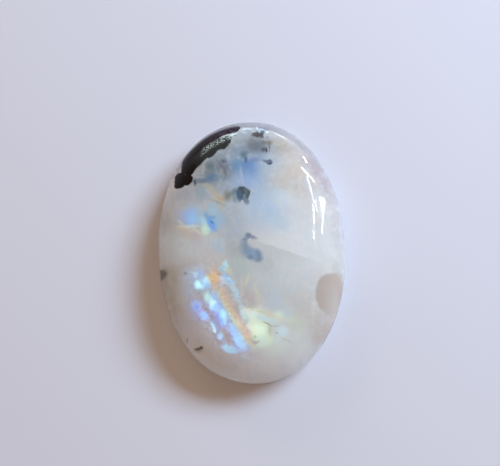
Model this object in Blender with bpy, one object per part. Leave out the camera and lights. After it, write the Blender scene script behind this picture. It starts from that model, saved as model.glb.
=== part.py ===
"""An oval moonstone cabochon: one polished stone with a domed top and a flat back.

The origin is at the centre of the flat back, +Y runs along the stone's long axis,
and +Z goes up through the top of the dome. All lengths are in metres.
"""

import math

import bmesh
import bpy

# Driving dimensions
LENGTH = 0.0350  # along Y, over the girdle
WIDTH = 0.0250  # along X, over the girdle
HEIGHT = 0.0070  # from the flat back to the top of the dome
BACK_BEVEL = 0.0006  # the ground edge round the flat back, inwards and upwards
GIRDLE_TOP = 0.0012  # where the upright girdle ends and the dome starts

# How full the curves are: 2 is an ellipse, and more is squarer
OUTLINE_FULLNESS = 2.12
DOME_FULLNESS_ACROSS = 2.2
DOME_FULLNESS_UP = 2.8

# How finely the surface is divided
STEPS_ROUND = 96
STEPS_UP_DOME = 22
SHARP_ANGLE = math.radians(30)

STONE_COLOUR = (0.60, 0.61, 0.66, 1.0)
STONE_ROUGHNESS = 0.12


def clear_scene():
    for obj in list(bpy.data.objects):
        bpy.data.objects.remove(obj)


def stone_material():
    material = bpy.data.materials.new("polished_moonstone")
    material.use_nodes = True
    shader = material.node_tree.nodes["Principled BSDF"]
    shader.inputs["Base Color"].default_value = STONE_COLOUR
    shader.inputs["Roughness"].default_value = STONE_ROUGHNESS
    shader.inputs["Metallic"].default_value = 0.0
    return material


def half_section():
    """The stone's side from the flat back to the top, as (reach, height).

    Reach is the share of the way from the middle out to the girdle, so one section
    serves the long and the short way across.
    """
    points = [
        (1 - BACK_BEVEL / (WIDTH / 2), 0.0),
        (1.0, BACK_BEVEL),
        (1.0, GIRDLE_TOP),
    ]
    rise = HEIGHT - GIRDLE_TOP
    for step in range(1, STEPS_UP_DOME):
        climb = math.radians(90) * step / STEPS_UP_DOME
        reach = math.cos(climb) ** (2 / DOME_FULLNESS_ACROSS)
        points.append((reach, GIRDLE_TOP + rise * math.sin(climb) ** (2 / DOME_FULLNESS_UP)))
    points.append((0.0, HEIGHT))
    return points


def signed_power(value, power):
    return math.copysign(abs(value) ** power, value)


def shape_to_outline(vert):
    """Moves a vertex of the round blank out to the stone's oval."""
    reach = math.hypot(vert.co.x, vert.co.y)
    turn = math.atan2(vert.co.y, vert.co.x)
    power = 2 / OUTLINE_FULLNESS
    vert.co.x = WIDTH / 2 * reach * signed_power(math.cos(turn), power)
    vert.co.y = LENGTH / 2 * reach * signed_power(math.sin(turn), power)


def moonstone_cabochon():
    bm = bmesh.new()
    side = [bm.verts.new((reach, 0.0, height)) for reach, height in half_section()]
    edges = [bm.edges.new(pair) for pair in zip(side, side[1:])]
    bmesh.ops.spin(
        bm,
        geom=side + edges,
        cent=(0, 0, 0),
        axis=(0, 0, 1),
        angle=math.radians(360),
        steps=STEPS_ROUND,
        use_merge=True,
    )
    bmesh.ops.remove_doubles(bm, verts=bm.verts, dist=1e-6)
    for vert in bm.verts:
        shape_to_outline(vert)
    rim_of_back = [edge for edge in bm.edges if edge.is_boundary]
    bmesh.ops.edgeloop_fill(bm, edges=rim_of_back)
    bmesh.ops.recalc_face_normals(bm, faces=bm.faces)

    mesh = bpy.data.meshes.new("moonstone_cabochon")
    bm.to_mesh(mesh)
    bm.free()
    mesh.shade_smooth()
    mesh.set_sharp_from_angle(angle=SHARP_ANGLE)
    mesh.materials.append(stone_material())
    stone = bpy.data.objects.new("moonstone_cabochon", mesh)
    bpy.context.scene.collection.objects.link(stone)
    return stone


clear_scene()
moonstone_cabochon()
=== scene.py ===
import math

import bmesh
import bpy
from mathutils import Matrix, Vector, noise


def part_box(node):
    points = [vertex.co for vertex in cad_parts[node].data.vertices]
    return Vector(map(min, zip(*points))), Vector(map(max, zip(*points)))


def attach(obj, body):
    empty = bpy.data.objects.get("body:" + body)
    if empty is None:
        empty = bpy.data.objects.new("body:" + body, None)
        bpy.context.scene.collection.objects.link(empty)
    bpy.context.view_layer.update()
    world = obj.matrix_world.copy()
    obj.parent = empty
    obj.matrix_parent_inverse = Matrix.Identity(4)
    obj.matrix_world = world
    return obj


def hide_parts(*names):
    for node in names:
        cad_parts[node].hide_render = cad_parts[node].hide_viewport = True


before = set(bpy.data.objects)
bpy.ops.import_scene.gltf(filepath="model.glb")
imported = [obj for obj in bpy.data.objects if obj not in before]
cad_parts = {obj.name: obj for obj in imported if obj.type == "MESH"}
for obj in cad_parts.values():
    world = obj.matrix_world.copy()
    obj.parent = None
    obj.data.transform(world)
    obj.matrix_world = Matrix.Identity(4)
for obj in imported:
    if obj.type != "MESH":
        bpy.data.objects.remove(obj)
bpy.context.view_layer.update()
stoneNode = "moonstone_cabochon"
low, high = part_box(stoneNode)
mm = 0.001
print("frame loaded:", stoneNode, [round(side / mm, 2) for side in high - low], "mm")


# One output of a node, so that node maths can be written as plain sums
class Wire:
    def __init__(self, sheet, socket):
        self.sheet = sheet
        self.socket = socket

    def sums(self, operation, *values):
        return self.sheet.node("ShaderNodeMath", {"operation": operation}, values)

    def __add__(self, other):
        return self.sums("ADD", self, other)

    __radd__ = __add__

    def __sub__(self, other):
        return self.sums("SUBTRACT", self, other)

    def __rsub__(self, other):
        return self.sums("SUBTRACT", other, self)

    def __mul__(self, other):
        return self.sums("MULTIPLY", self, other)

    __rmul__ = __mul__

    def raised(self, power):
        return self.sums("POWER", self, power)

    def most(self, other):
        return self.sums("MAXIMUM", self, other)


# The node tree of a material or of the room, with the few kinds of node that they need
class Sheet:
    def __init__(self, owner):
        owner.use_nodes = True
        self.tree = owner.node_tree

    def feed(self, socket, value):
        if isinstance(value, Wire):
            self.tree.links.new(value.socket, socket)
        else:
            socket.default_value = value

    def fill(self, made, values):
        # values in socket order, or by socket name or number
        pairs = values.items() if isinstance(values, dict) else enumerate(values)
        for key, value in pairs:
            self.feed(made.inputs[key], value)

    def node(self, kind, settings, values, output=0):
        made = self.tree.nodes.new(kind)
        for name, value in settings.items():
            if name == "stops":
                self.setStops(made.color_ramp.elements, value)
            else:
                setattr(made, name, value)
        self.fill(made, values)
        return Wire(self, made.outputs[output])

    def setStops(self, bands, stops):
        while len(bands) < len(stops):
            bands.new(0.5)
        for band, (place, colour) in zip(bands, stops):
            band.position = place
            band.color = colour

    def coordinates(self, name):
        return self.node("ShaderNodeTexCoord", {}, [], name)

    def part(self, vector, axis):
        return self.node("ShaderNodeSeparateXYZ", {}, [vector], axis)

    def channel(self, colour, name):
        return self.node("ShaderNodeSeparateColor", {}, [colour], name)

    def vector(self, operation, *values):
        return self.node("ShaderNodeVectorMath", {"operation": operation}, values)

    def scaled(self, vector, size):
        return self.node("ShaderNodeVectorMath", {"operation": "SCALE"}, {0: vector, "Scale": size})

    def mixed(self, share, first, second, clamped=True):
        # a Mix node's sockets 6 and 7 are its two colours, and its output 2 is the mixed one
        return self.node(
            "ShaderNodeMix",
            {"clamp_factor": clamped, "data_type": "RGBA"},
            {"Factor": share, 6: first, 7: second},
            2,
        )

    def dimmed(self, colour, share):
        return self.mixed(share, (0, 0, 0, 1), colour, clamped=False)

    def smooth(self, value, low, high, most=1.0):
        # rises softly from 0 at low to most at high, and low may be the larger
        return self.node(
            "ShaderNodeMapRange",
            {"interpolation_type": "SMOOTHSTEP"},
            {"Value": value, "From Min": low, "From Max": high, "To Max": most},
        )

    def grain(self, where, scale, detail, rough=0.5, output="Fac"):
        return self.node(
            "ShaderNodeTexNoise",
            {},
            {"Vector": where, "Scale": scale, "Detail": detail, "Roughness": rough},
            output,
        )

    def haze(self, where, scale, detail, low, high, most=1.0):
        return self.smooth(self.grain(where, scale, detail), low, high, most)

    def placed(self, where, at, size, turn=0.0):
        # coordinates in which a spot of this place, size and turn is the unit circle
        return self.node(
            "ShaderNodeMapping",
            {"vector_type": "TEXTURE"},
            {
                "Vector": where,
                "Location": (at[0], at[1], 0),
                "Rotation": (0, 0, math.radians(turn)),
                "Scale": (size[0], size[1], 1),
            },
        )

    def drifted(self, where, *pushes):
        # coordinates pushed about by noise, which makes edges cloudy or ragged
        for scale, amount, detail in pushes:
            push = self.grain(where, scale, detail, output="Color")
            push = self.vector("SUBTRACT", push, (0.5, 0.5, 0.5))
            where = self.vector("MULTIPLY_ADD", push, (amount, amount, 0), where)
        return where

    def spot(self, where, x, y, wide, tall, turn, soft=0.3, most=1.0):
        # a mark's share of a place, which falls off softly on both sides of its edge
        reach = (wide * (1 + soft), tall * (1 + soft))
        placed = self.placed(where, (x, y), reach, turn)
        nearness = self.node("ShaderNodeTexGradient", {"gradient_type": "SPHERICAL"}, [placed], "Fac")
        return self.smooth(nearness, 0.0, 2 * soft / (1 + soft), most)

    def aside(self, where, at, turn, width):
        # how far a place lies beyond a line, from 0 on it to 1 at this width
        return self.node("ShaderNodeTexGradient", {}, [self.placed(where, at, (width, 1), turn)], "Fac")

    def painted(self, colour, where, marks):
        for *form, paint in marks:
            colour = self.mixed(self.spot(where, *form), colour, rgb(*paint))
        return colour


def rgb(red, green, blue, times=1.0):
    # a colour as an image shows it, 0 to 255, made the linear one that a shader takes
    def linear(value):
        share = value / 255
        return times * (share / 12.92 if share <= 0.04045 else ((share + 0.055) / 1.055) ** 2.4)

    return (linear(red), linear(green), linear(blue), 1.0)


# The stone's shape, in metres. The outline and the dome are the solid's own.
cabochon = {
    "length": high.y - low.y,
    "width": high.x - low.x,
    "height": high.z - low.z,
    "backBevel": 0.6 * mm,
    "bevelBulge": (0.55, 0.35),  # where the bevel bends, as shares of its depth and height
    "girdleTop": 1.2 * mm,
    "outlineFullness": 2.12,  # 2 is an ellipse, and more is squarer
    "domeAcross": 2.2,
    "domeUp": 2.8,
    "stepsRound": 320,
    "stepsDome": 110,
    "wallSteps": 6,
    "polishWaves": 0.035 * mm,
    "waveSize": 4.2 * mm,
    "waveSink": 0.25,  # keeps the waves' crests near the solid's surface
    "sharpAngle": math.radians(35),
}


def addObject(name, data):
    made = bpy.data.objects.new(name, data)
    bpy.context.scene.collection.objects.link(made)
    return made


def addMesh(name, bm):
    mesh = bpy.data.meshes.new(name)
    bm.to_mesh(mesh)
    bm.free()
    return addObject(name, mesh)


def halfSection():
    # the side from the flat back to the top, as shares of the way out and heights
    shape = cabochon
    bevel = shape["backBevel"]
    bulgeIn, bulgeUp = shape["bevelBulge"]
    edge = bevel / (shape["width"] / 2)
    rise = shape["height"] - shape["girdleTop"]
    points = [(1 - edge, 0.0), (1 - edge * bulgeIn, bevel * bulgeUp), (1.0, bevel)]
    for step in range(1, shape["wallSteps"] + 1):
        share = step / shape["wallSteps"]
        points.append((1.0, bevel + (shape["girdleTop"] - bevel) * share))
    for step in range(1, shape["stepsDome"]):
        climb = math.radians(90) * step / shape["stepsDome"]
        reach = math.cos(climb) ** (2 / shape["domeAcross"])
        points.append((reach, shape["girdleTop"] + rise * math.sin(climb) ** (2 / shape["domeUp"])))
    points.append((0.0, shape["height"]))
    return points


def signedPower(value, power):
    return math.copysign(abs(value) ** power, value)


def shapeToOutline(vert):
    # moves a vertex of the round blank out to the stone's oval
    shape = cabochon
    power = 2 / shape["outlineFullness"]
    reach = math.hypot(vert.co.x, vert.co.y)
    turn = math.atan2(vert.co.y, vert.co.x)
    vert.co.x = shape["width"] / 2 * reach * signedPower(math.cos(turn), power)
    vert.co.y = shape["length"] / 2 * reach * signedPower(math.sin(turn), power)


def addPolishWaves(bm):
    # the slow unevenness of a hand polish, which bends what the surface mirrors
    shape = cabochon
    bm.normal_update()
    for vert in bm.verts:
        if vert.co.z > shape["girdleTop"] / 2:
            wave = noise.noise(vert.co / shape["waveSize"]) - shape["waveSink"]
            vert.co += vert.normal * wave * shape["polishWaves"]


def makeStone():
    shape = cabochon
    bm = bmesh.new()
    side = [bm.verts.new((reach, 0.0, height)) for reach, height in halfSection()]
    edges = [bm.edges.new(pair) for pair in zip(side, side[1:])]
    bmesh.ops.spin(
        bm,
        geom=side + edges,
        cent=(0, 0, 0),
        axis=(0, 0, 1),
        angle=math.tau,
        steps=shape["stepsRound"],
        use_merge=True,
    )
    bmesh.ops.remove_doubles(bm, verts=bm.verts, dist=0.001 * mm)
    for vert in bm.verts:
        shapeToOutline(vert)
    bmesh.ops.edgeloop_fill(bm, edges=[edge for edge in bm.edges if edge.is_boundary])
    bmesh.ops.recalc_face_normals(bm, faces=bm.faces)
    addPolishWaves(bm)
    stone = addMesh("moonstone", bm)
    stone.data.shade_smooth()
    stone.data.set_sharp_from_angle(angle=shape["sharpAngle"])
    return stone


# How the edges of the markings wander, in one or two steps: fineness of the noise, how many
# millimetres it pushes them, and its detail
drifts = {
    "cloudy": [(0.45, 1.6, 3)],
    "veined": [(1.4, 0.35, 3)],
    "ragged": [(1.3, 0.35, 2), (4.0, 0.2, 2)],
    "tourmaline": [(1.2, 0.3, 2), (4.4, 0.2, 2)],
}
# The milky body of the stone, and the veils and fine threads all through it. Each haze: fineness
# and detail of its noise, the values between which it comes up, and its strength.
milk = {
    "cool": rgb(210, 213, 212),
    "warm": rgb(219, 218, 215),
    "body": (0.3, 3, 0.35, 0.65),
    "blue": rgb(206, 218, 226),
    "blueVeil": (0.7, 4, 0.48, 0.72, 0.35),
    "beige": rgb(228, 218, 206),
    "beigeVeil": (0.8, 4, 0.5, 0.75, 0.3),
    "threadNoise": (1, 3),
    "threads": 0.08,  # how much the threads and the mottling lighten and darken it
    "threadSize": (0.35, 1.6),
    "threadTurn": 8,
    "mottleNoise": (1.6, 5, 0.65),
    "mottle": 0.16,
}
# The clear rim at the dark end, from a share of the way out to the girdle: its grey is partly the
# clearer stone and partly a painted reflection of the room
clearRimAndSheen = {
    "reach": (0.905, 0.93),
    "up": (8.0, 12.5),
    "share": 0.92,
    "leftColour": rgb(137, 137, 142),
    "rightColour": rgb(160, 155, 156),
    "leftToRight": (3.0, 7.0),
}
# The polish, and the girdle's wall and the back, which are ground but not polished
finish = {
    "roughness": 0.04,
    "wearNoise": (0.9, 4),
    "wear": (0.45, 0.75, 0.05),  # shown between two values of its noise, and how much it adds
    "scratchNoise": (1, 2),
    "scratches": (0.68, 0.78, 0.1),
    "scratchSize": (2.2, 0.06),
    "scratchTurn": 35,
    "groundRoughness": 0.3,
    "groundColour": rgb(214, 213, 210),
    "wall": {"heights": (1.3 * mm, 1.05 * mm), "share": 0.45},
    "back": {"heights": (0.25 * mm, 0.05 * mm), "share": 0.9},
    "drapeBelow": 3.0,  # millimetres: lower down, the markings go on outwards
    "drape": 0.2,
    "ior": 1.52,
    "lightDepth": 15.0 * mm,  # how deep light goes into the milk, and the same for each colour
    "lightDepths": (1.0, 0.9, 0.85),
}

# Places on the stone are in millimetres from the middle: x to the right, y to the dark end.
# Each mark: x, y, half width, half height, turn in degrees, softness of its edge, strength, and
# its colour as an image shows it, with a brightness where that isn't 1.
clouds = [
    # the right side and its two shoulders, a warm clear grey, partly the stone's clearer edge and
    # partly painted shade that damps the window's light on the side facing it
    (10.5, 2, 3.5, 9, 0, 0.8, 0.7, (205, 200, 193)),
    (8.5, 10, 3.2, 4, 35, 0.7, 0.75, (184, 177, 175)),
    (5, 13.6, 4, 2.4, -25, 0.7, 0.8, (168, 163, 160)),
    (7, -9.5, 3.2, 3.6, 20, 0.8, 0.6, (200, 193, 181)),
    (11.7, 3, 1.1, 8, 0, 0.7, 0.8, (190, 184, 178)),
    (10.6, 8, 1.1, 3, 30, 0.7, 0.85, (166, 152, 154)),
    (11.5, 3.6, 0.8, 4, 4, 0.8, 0.6, (190, 182, 182)),
    (8.9, 10.6, 0.9, 1.9, 38, 0.8, 0.75, (166, 150, 152)),
    (4.7, 12.9, 1, 0.9, 0, 0.8, 0.6, (172, 166, 152)),
    (4.4, 11, 1.6, 1.2, 0, 0.8, 0.6, (184, 186, 186)),
    # the left side
    (-11, 4, 2.4, 5, 10, 0.8, 0.6, (196, 206, 206)),
    (-11, -3, 3.4, 4.5, 10, 0.8, 0.8, (190, 190, 180)),
    (-9, -8.4, 2.2, 4.6, 20, 0.8, 0.7, (198, 194, 190)),
    (-7, 6, 2.8, 1.6, 0, 0.8, 0.7, (192, 204, 214)),
    (-7.2, 7.4, 2.4, 1.1, 0, 0.8, 0.8, (178, 189, 198)),
    (-3, 7.6, 1, 0.7, 0, 0.8, 0.6, (166, 178, 180)),
    (-9, 1.4, 2, 1, -10, 0.8, 0.6, (214, 228, 220)),
    (-11.2, 4.6, 0.9, 3.2, 12, 0.7, 0.8, (182, 190, 194)),
    (-10.6, -7.2, 1, 5, 26, 0.7, 0.85, (184, 177, 166)),
    (-11.2, -4.6, 0.7, 1.4, 10, 0.8, 0.7, (166, 161, 142)),
    (-8.8, -0.7, 2.4, 1.3, 0, 0.8, 0.8, (222, 233, 238)),
    (-10, 1.2, 1.2, 1.6, 0, 0.8, 0.7, (212, 231, 240)),
    (9.1, -10.6, 1.4, 4.6, -33, 0.8, 0.85, (190, 178, 169)),
    (7.4, -12.3, 1.8, 1.4, 30, 0.8, 0.7, (198, 192, 186)),
    (8.4, -12.2, 0.8, 3.6, -40, 0.8, 0.7, (188, 172, 160)),
    (6.4, 8.6, 1.5, 2, 10, 0.8, 0.7, (202, 191, 176)),
    # the milky middle
    (5, 0.5, 4.5, 2.6, -15, 0.8, 0.8, (228, 231, 228)),
    (-8, 0.3, 2.6, 1.2, -20, 0.8, 0.8, (224, 236, 236)),
    (-4.6, -1.4, 1.8, 1.2, -40, 0.8, 0.6, (226, 224, 222)),
    (3, -4, 3, 3, 0, 0.8, 0.6, (211, 224, 222)),
    (4.4, 6.2, 1.2, 1.3, 0, 0.8, 0.8, (226, 230, 226)),
    (-1.2, 0.1, 1.3, 1.4, 0, 0.8, 0.8, (188, 195, 194)),
    (-1, -2.3, 1.4, 1.3, 0, 0.8, 0.8, (197, 213, 208)),
    (2.2, -2, 1.3, 1.4, 0, 0.8, 0.7, (198, 206, 204)),
    # the pale lower end
    (0, -15.2, 8, 2.4, 4, 0.8, 0.85, (234, 237, 238)),
    (-0.6, -14, 6.5, 1.5, 0, 0.8, 0.85, (242, 245, 248)),
    (-6.9, -10.9, 1.4, 1.8, -30, 0.8, 0.8, (229, 231, 238)),
    (4, -13.2, 3, 1.8, 20, 0.8, 0.7, (233, 236, 228)),
    (-5, -13.6, 3.2, 1.6, -25, 0.8, 0.7, (226, 220, 214)),
    # the blue and grey veil at the dark end
    (-2.5, 11.5, 4.5, 3.5, 20, 0.7, 0.9, (144, 156, 162)),
    (0.8, 12.8, 3.2, 2.6, 0, 0.7, 0.7, (150, 160, 164)),
    (0.6, 9, 3.2, 3, 0, 0.8, 0.8, (160, 186, 212)),
    (4.2, 9, 2, 2.4, 10, 0.8, 0.7, (185, 195, 198)),
    (-4, 9.6, 2.6, 1.2, 10, 0.7, 0.8, (132, 148, 156)),
    (6, 10.3, 1.4, 2, 20, 0.8, 0.5, (203, 190, 176)),
    (5, 8.4, 1.4, 1.2, 0, 0.8, 0.7, (206, 196, 182)),
    # the light blue drift from the middle to the right
    (2.2, 4.6, 2.6, 2.2, -35, 0.8, 0.8, (186, 210, 230)),
    (4.3, 3, 1.3, 0.8, -35, 0.7, 0.6, (193, 213, 221)),
    (-1.8, 2.4, 2.2, 1.6, 20, 0.8, 0.7, (186, 202, 214)),
    (-2.4, 4.3, 1.6, 1.6, 0, 0.8, 0.8, (182, 197, 206)),
    (-4.6, 1, 1.4, 0.9, 0, 0.8, 0.6, (220, 234, 236)),
    (-3.6, 0.2, 0.9, 0.8, 0, 0.8, 0.8, (196, 222, 232)),
    # a lilac haze round the flashes
    (-7.2, -8.2, 2, 2.6, -20, 0.8, 0.8, (224, 228, 244)),
    (-4.6, -10.9, 2.8, 1.8, -50, 0.8, 0.85, (234, 238, 244)),
    (-7.8, -4.6, 1.3, 2, 10, 0.8, 0.75, (213, 226, 240)),
    (-8.3, -6.2, 0.9, 0.9, 0, 0.8, 0.6, (217, 223, 232)),
    (-1, -13.4, 2.4, 0.9, 0, 0.8, 0.7, (222, 228, 240)),
]
veins = [
    # the strong blue under the dark end
    (-0.8, 10.5, 1, 0.9, 20, 0.7, 0.8, (118, 156, 186)),
    (0.5, 9.9, 1.1, 1.3, -20, 0.7, 0.8, (126, 160, 200)),
    (0.3, 8.4, 1.2, 0.8, 0, 0.8, 0.6, (166, 192, 224)),
    (-0.4, 9.2, 0.16, 1.1, 8, 0.8, 0.5, (196, 206, 212)),
    (-4.25, 9.15, 0.7, 0.5, 0, 0.8, 0.9, (106, 140, 172)),
    (-5.5, 8.85, 0.9, 0.3, -8, 0.8, 0.8, (114, 132, 152)),
    (1.3, 11.2, 0.9, 0.4, 10, 0.7, 0.7, (128, 148, 178)),
    (0.4, 10.6, 0.6, 0.5, 0, 0.8, 0.6, (112, 150, 194)),
    (-1, 12.6, 0.8, 0.7, 20, 0.8, 0.5, (140, 158, 180)),
    # the left of the two blue flashes, painted schiller whose brightest parts glow
    (-8.3, 4.4, 1, 0.9, 0, 0.9, 0.7, (190, 208, 240)),
    (-7.1, 4.3, 0.95, 1.1, 0, 0.9, 0.9, (160, 206, 254, 1.22)),
    (-7, 3.85, 0.55, 0.55, 0, 0.9, 0.9, (160, 206, 254, 1.36)),
    (-6, 4, 0.6, 0.9, 5, 0.9, 0.9, (180, 228, 250, 1.04)),
    (-6, 4.7, 0.4, 0.4, 0, 0.9, 0.6, (182, 212, 228)),
    # the right one with its dark core
    (-3.6, 3.6, 0.7, 1, 0, 0.9, 0.8, (172, 212, 235)),
    (-4.3, 4.85, 0.55, 0.7, 0, 0.8, 0.9, (180, 218, 232)),
    (-4.25, 5.5, 0.5, 0.35, 10, 0.9, 0.7, (178, 206, 220)),
    (-5.1, 4.25, 0.36, 0.55, 10, 0.8, 0.9, (156, 196, 236)),
    (-4.4, 3.95, 0.5, 0.22, 0, 0.8, 0.8, (132, 186, 226)),
    (-4.8, 3.6, 0.3, 0.3, 0, 0.8, 0.8, (138, 194, 242)),
    (-4.4, 3.05, 0.9, 0.5, -62, 0.6, 0.95, (136, 190, 254, 1.06)),
    (-4.37, 3.3, 0.26, 0.12, -45, 0.8, 0.9, (96, 152, 214)),
    (-4.75, 2.4, 0.16, 0.4, 15, 0.8, 0.8, (180, 240, 254, 1.1)),
    (-5.4, 3.3, 0.34, 0.6, 12, 0.8, 0.9, (190, 240, 254, 1.08)),
    (-5.3, 2.5, 0.46, 0.5, 0, 0.8, 0.95, (216, 254, 238, 1.14)),
    (-5.2, 2, 0.36, 0.24, -10, 0.8, 0.85, (228, 254, 238, 1.08)),
    (-5.3, 1.5, 0.3, 0.3, 0, 0.9, 0.6, (214, 232, 235)),
    # the pale, yellow and orange lines under them
    (-8, 2.7, 1.4, 0.3, -16, 0.9, 0.75, (226, 222, 204)),
    (-8.3, 2.9, 0.7, 0.14, -16, 0.9, 0.5, (238, 210, 186)),
    (-7.4, 3, 1.2, 0.2, -4, 0.8, 0.9, (232, 250, 244, 1.02)),
    (-8.5, 3.55, 0.6, 0.18, -38, 0.8, 0.8, (222, 240, 240)),
    (-6.9, 2.45, 0.6, 0.2, -10, 0.9, 0.7, (226, 232, 218)),
    (-6.3, 2.3, 0.8, 0.13, -36, 0.8, 0.75, (240, 240, 222)),
    (-6.6, 1.5, 0.35, 0.7, 0, 0.8, 0.5, (214, 208, 224)),
    (-7.6, 2, 1.2, 0.4, -20, 0.8, 0.4, (226, 216, 206)),
    # the ochre corner
    (-5.6, 7.2, 0.8, 0.8, -30, 0.8, 0.8, (168, 188, 196)),
    (-4.8, 8, 0.7, 0.25, -30, 0.8, 0.6, (176, 188, 170)),
    (-4, 7.1, 1.4, 0.3, -45, 0.8, 0.85, (200, 198, 176)),
    (-3.2, 6.3, 0.55, 0.36, -20, 0.8, 0.9, (202, 189, 158)),
    (-2.25, 6.6, 0.5, 0.62, -10, 0.8, 0.9, (138, 142, 126)),
    (-4.7, 7.2, 0.7, 0.14, -48, 0.8, 0.6, (204, 208, 218)),
    (-3.4, 5.72, 1.1, 0.2, -28, 0.8, 0.75, (172, 180, 166)),
    (-3.2, 5.2, 0.6, 0.3, -20, 0.8, 0.4, (204, 206, 192)),
    (4.2, 13.5, 1.3, 0.6, -10, 0.8, 0.45, (172, 165, 148)),
]
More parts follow.
